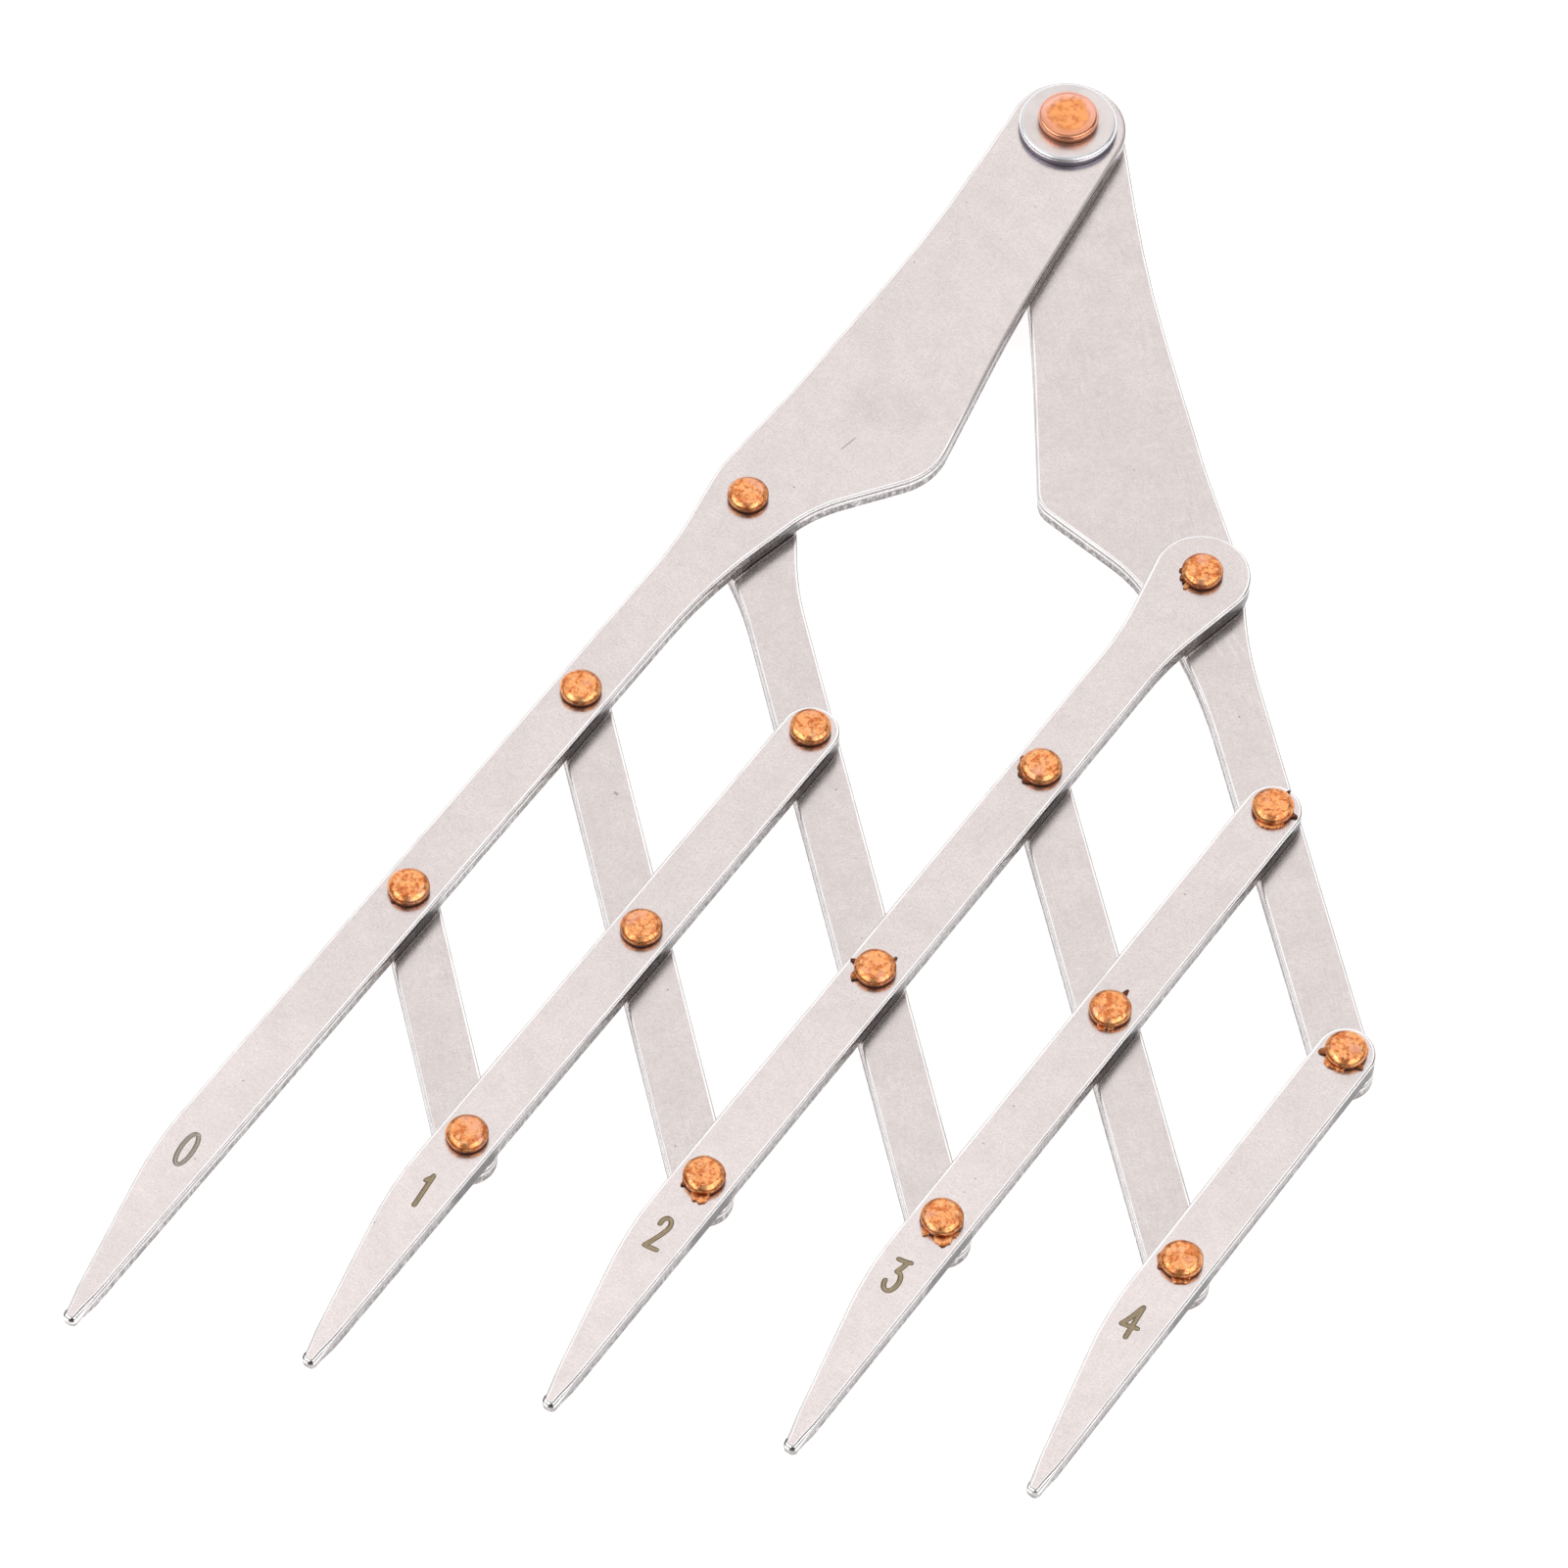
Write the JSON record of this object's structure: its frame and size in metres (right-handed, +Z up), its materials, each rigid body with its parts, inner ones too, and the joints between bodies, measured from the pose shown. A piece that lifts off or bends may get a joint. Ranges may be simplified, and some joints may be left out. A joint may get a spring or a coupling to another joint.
{
  "type": "equal spacing divider",
  "caption": "Folding lattice divider of flat riveted steel bars: two shaped grip arms spread a row of evenly spaced, numbered points.",
  "frame": {"origin": "centre of the main rivet's lower head, on the flat face that the divider rests on", "axes": "+Z up, square to the plates, out of the numbered faces; the points face -Y; +X towards the point numbered 4; +Y along the lattice's middle line, from the points to the main rivet"},
  "size_m": [0.1012, 0.1435, 0.0069],
  "materials": {
    "satin_steel": "satin",
    "bright_steel": "satin",
    "copper": "satin"
  },
  "bodies": {
    "left_arm_body": {"left_arm": "satin_steel", "main_rivet": "copper", "main_washer": "bright_steel", "left_arm_rivet_1": "copper", "left_arm_rivet_2": "copper", "left_arm_rivet_3": "copper"},
    "right_arm_body": {"right_arm": "satin_steel"},
    "long_link_body": {"long_link": "satin_steel"},
    "middle_link_body": {"middle_link": "satin_steel"},
    "short_link_body": {"short_link": "satin_steel"},
    "right_link_body": {"right_link": "satin_steel"},
    "pointer_1_body": {"pointer_1": "satin_steel", "pointer_1_rivet_1": "copper", "pointer_1_rivet_2": "copper", "pointer_1_rivet_3": "copper"},
    "pointer_2_body": {"pointer_2": "satin_steel", "pointer_2_rivet_1": "copper", "pointer_2_rivet_2": "copper", "pointer_2_rivet_3": "copper", "pointer_2_rivet_4": "copper"},
    "pointer_3_body": {"pointer_3": "satin_steel", "pointer_3_rivet_1": "copper", "pointer_3_rivet_2": "copper", "pointer_3_rivet_3": "copper"},
    "pointer_4_body": {"pointer_4": "satin_steel", "pointer_4_rivet_1": "copper", "pointer_4_rivet_2": "copper"}
  },
  "joints": [
    {"name": "arm_pivot", "type": "hinge", "parent": "left_arm_body", "child": "right_arm_body", "pos_m": [0, 0, 0.003], "axis": [0, 0, 1], "range_deg": [-35, 90]},
    {"name": "long_link_pivot", "type": "hinge", "parent": "left_arm_body", "child": "long_link_body", "pos_m": [-0.02, -0.04583, 0.003], "axis": [0, 0, 1], "range_deg": [-35, 90]},
    {"name": "middle_link_pivot", "type": "hinge", "parent": "left_arm_body", "child": "middle_link_body", "pos_m": [-0.03, -0.06874, 0.003], "axis": [0, 0, 1], "range_deg": [-35, 90]},
    {"name": "short_link_pivot", "type": "hinge", "parent": "left_arm_body", "child": "short_link_body", "pos_m": [-0.04, -0.09165, 0.003], "axis": [0, 0, 1], "range_deg": [-35, 90]},
    {"name": "pointer_1_pivot", "type": "hinge", "parent": "long_link_body", "child": "pointer_1_body", "pos_m": [-0.01, -0.06874, 0.003], "axis": [0, 0, 1], "range_deg": [-90, 35]},
    {"name": "pointer_2_pivot", "type": "hinge", "parent": "right_arm_body", "child": "pointer_2_body", "pos_m": [0.02, -0.04583, 0.003], "axis": [0, 0, 1], "range_deg": [-90, 35]},
    {"name": "pointer_3_pivot", "type": "hinge", "parent": "right_arm_body", "child": "pointer_3_body", "pos_m": [0.03, -0.06874, 0.003], "axis": [0, 0, 1], "range_deg": [-90, 35]},
    {"name": "pointer_4_pivot", "type": "hinge", "parent": "right_arm_body", "child": "pointer_4_body", "pos_m": [0.04, -0.09165, 0.003], "axis": [0, 0, 1], "range_deg": [-90, 35]},
    {"name": "right_link_pivot", "type": "hinge", "parent": "pointer_2_body", "child": "right_link_body", "pos_m": [0.01, -0.06874, 0.003], "axis": [0, 0, 1], "range_deg": [-35, 90]}
  ],
  "couplings": [
    {"joint": "long_link_pivot", "follows": "arm_pivot", "ratio": 1},
    {"joint": "middle_link_pivot", "follows": "arm_pivot", "ratio": 1},
    {"joint": "short_link_pivot", "follows": "arm_pivot", "ratio": 1},
    {"joint": "pointer_1_pivot", "follows": "arm_pivot", "ratio": -1},
    {"joint": "pointer_2_pivot", "follows": "arm_pivot", "ratio": -1},
    {"joint": "pointer_3_pivot", "follows": "arm_pivot", "ratio": -1},
    {"joint": "pointer_4_pivot", "follows": "arm_pivot", "ratio": -1},
    {"joint": "right_link_pivot", "follows": "arm_pivot", "ratio": 1}
  ]
}
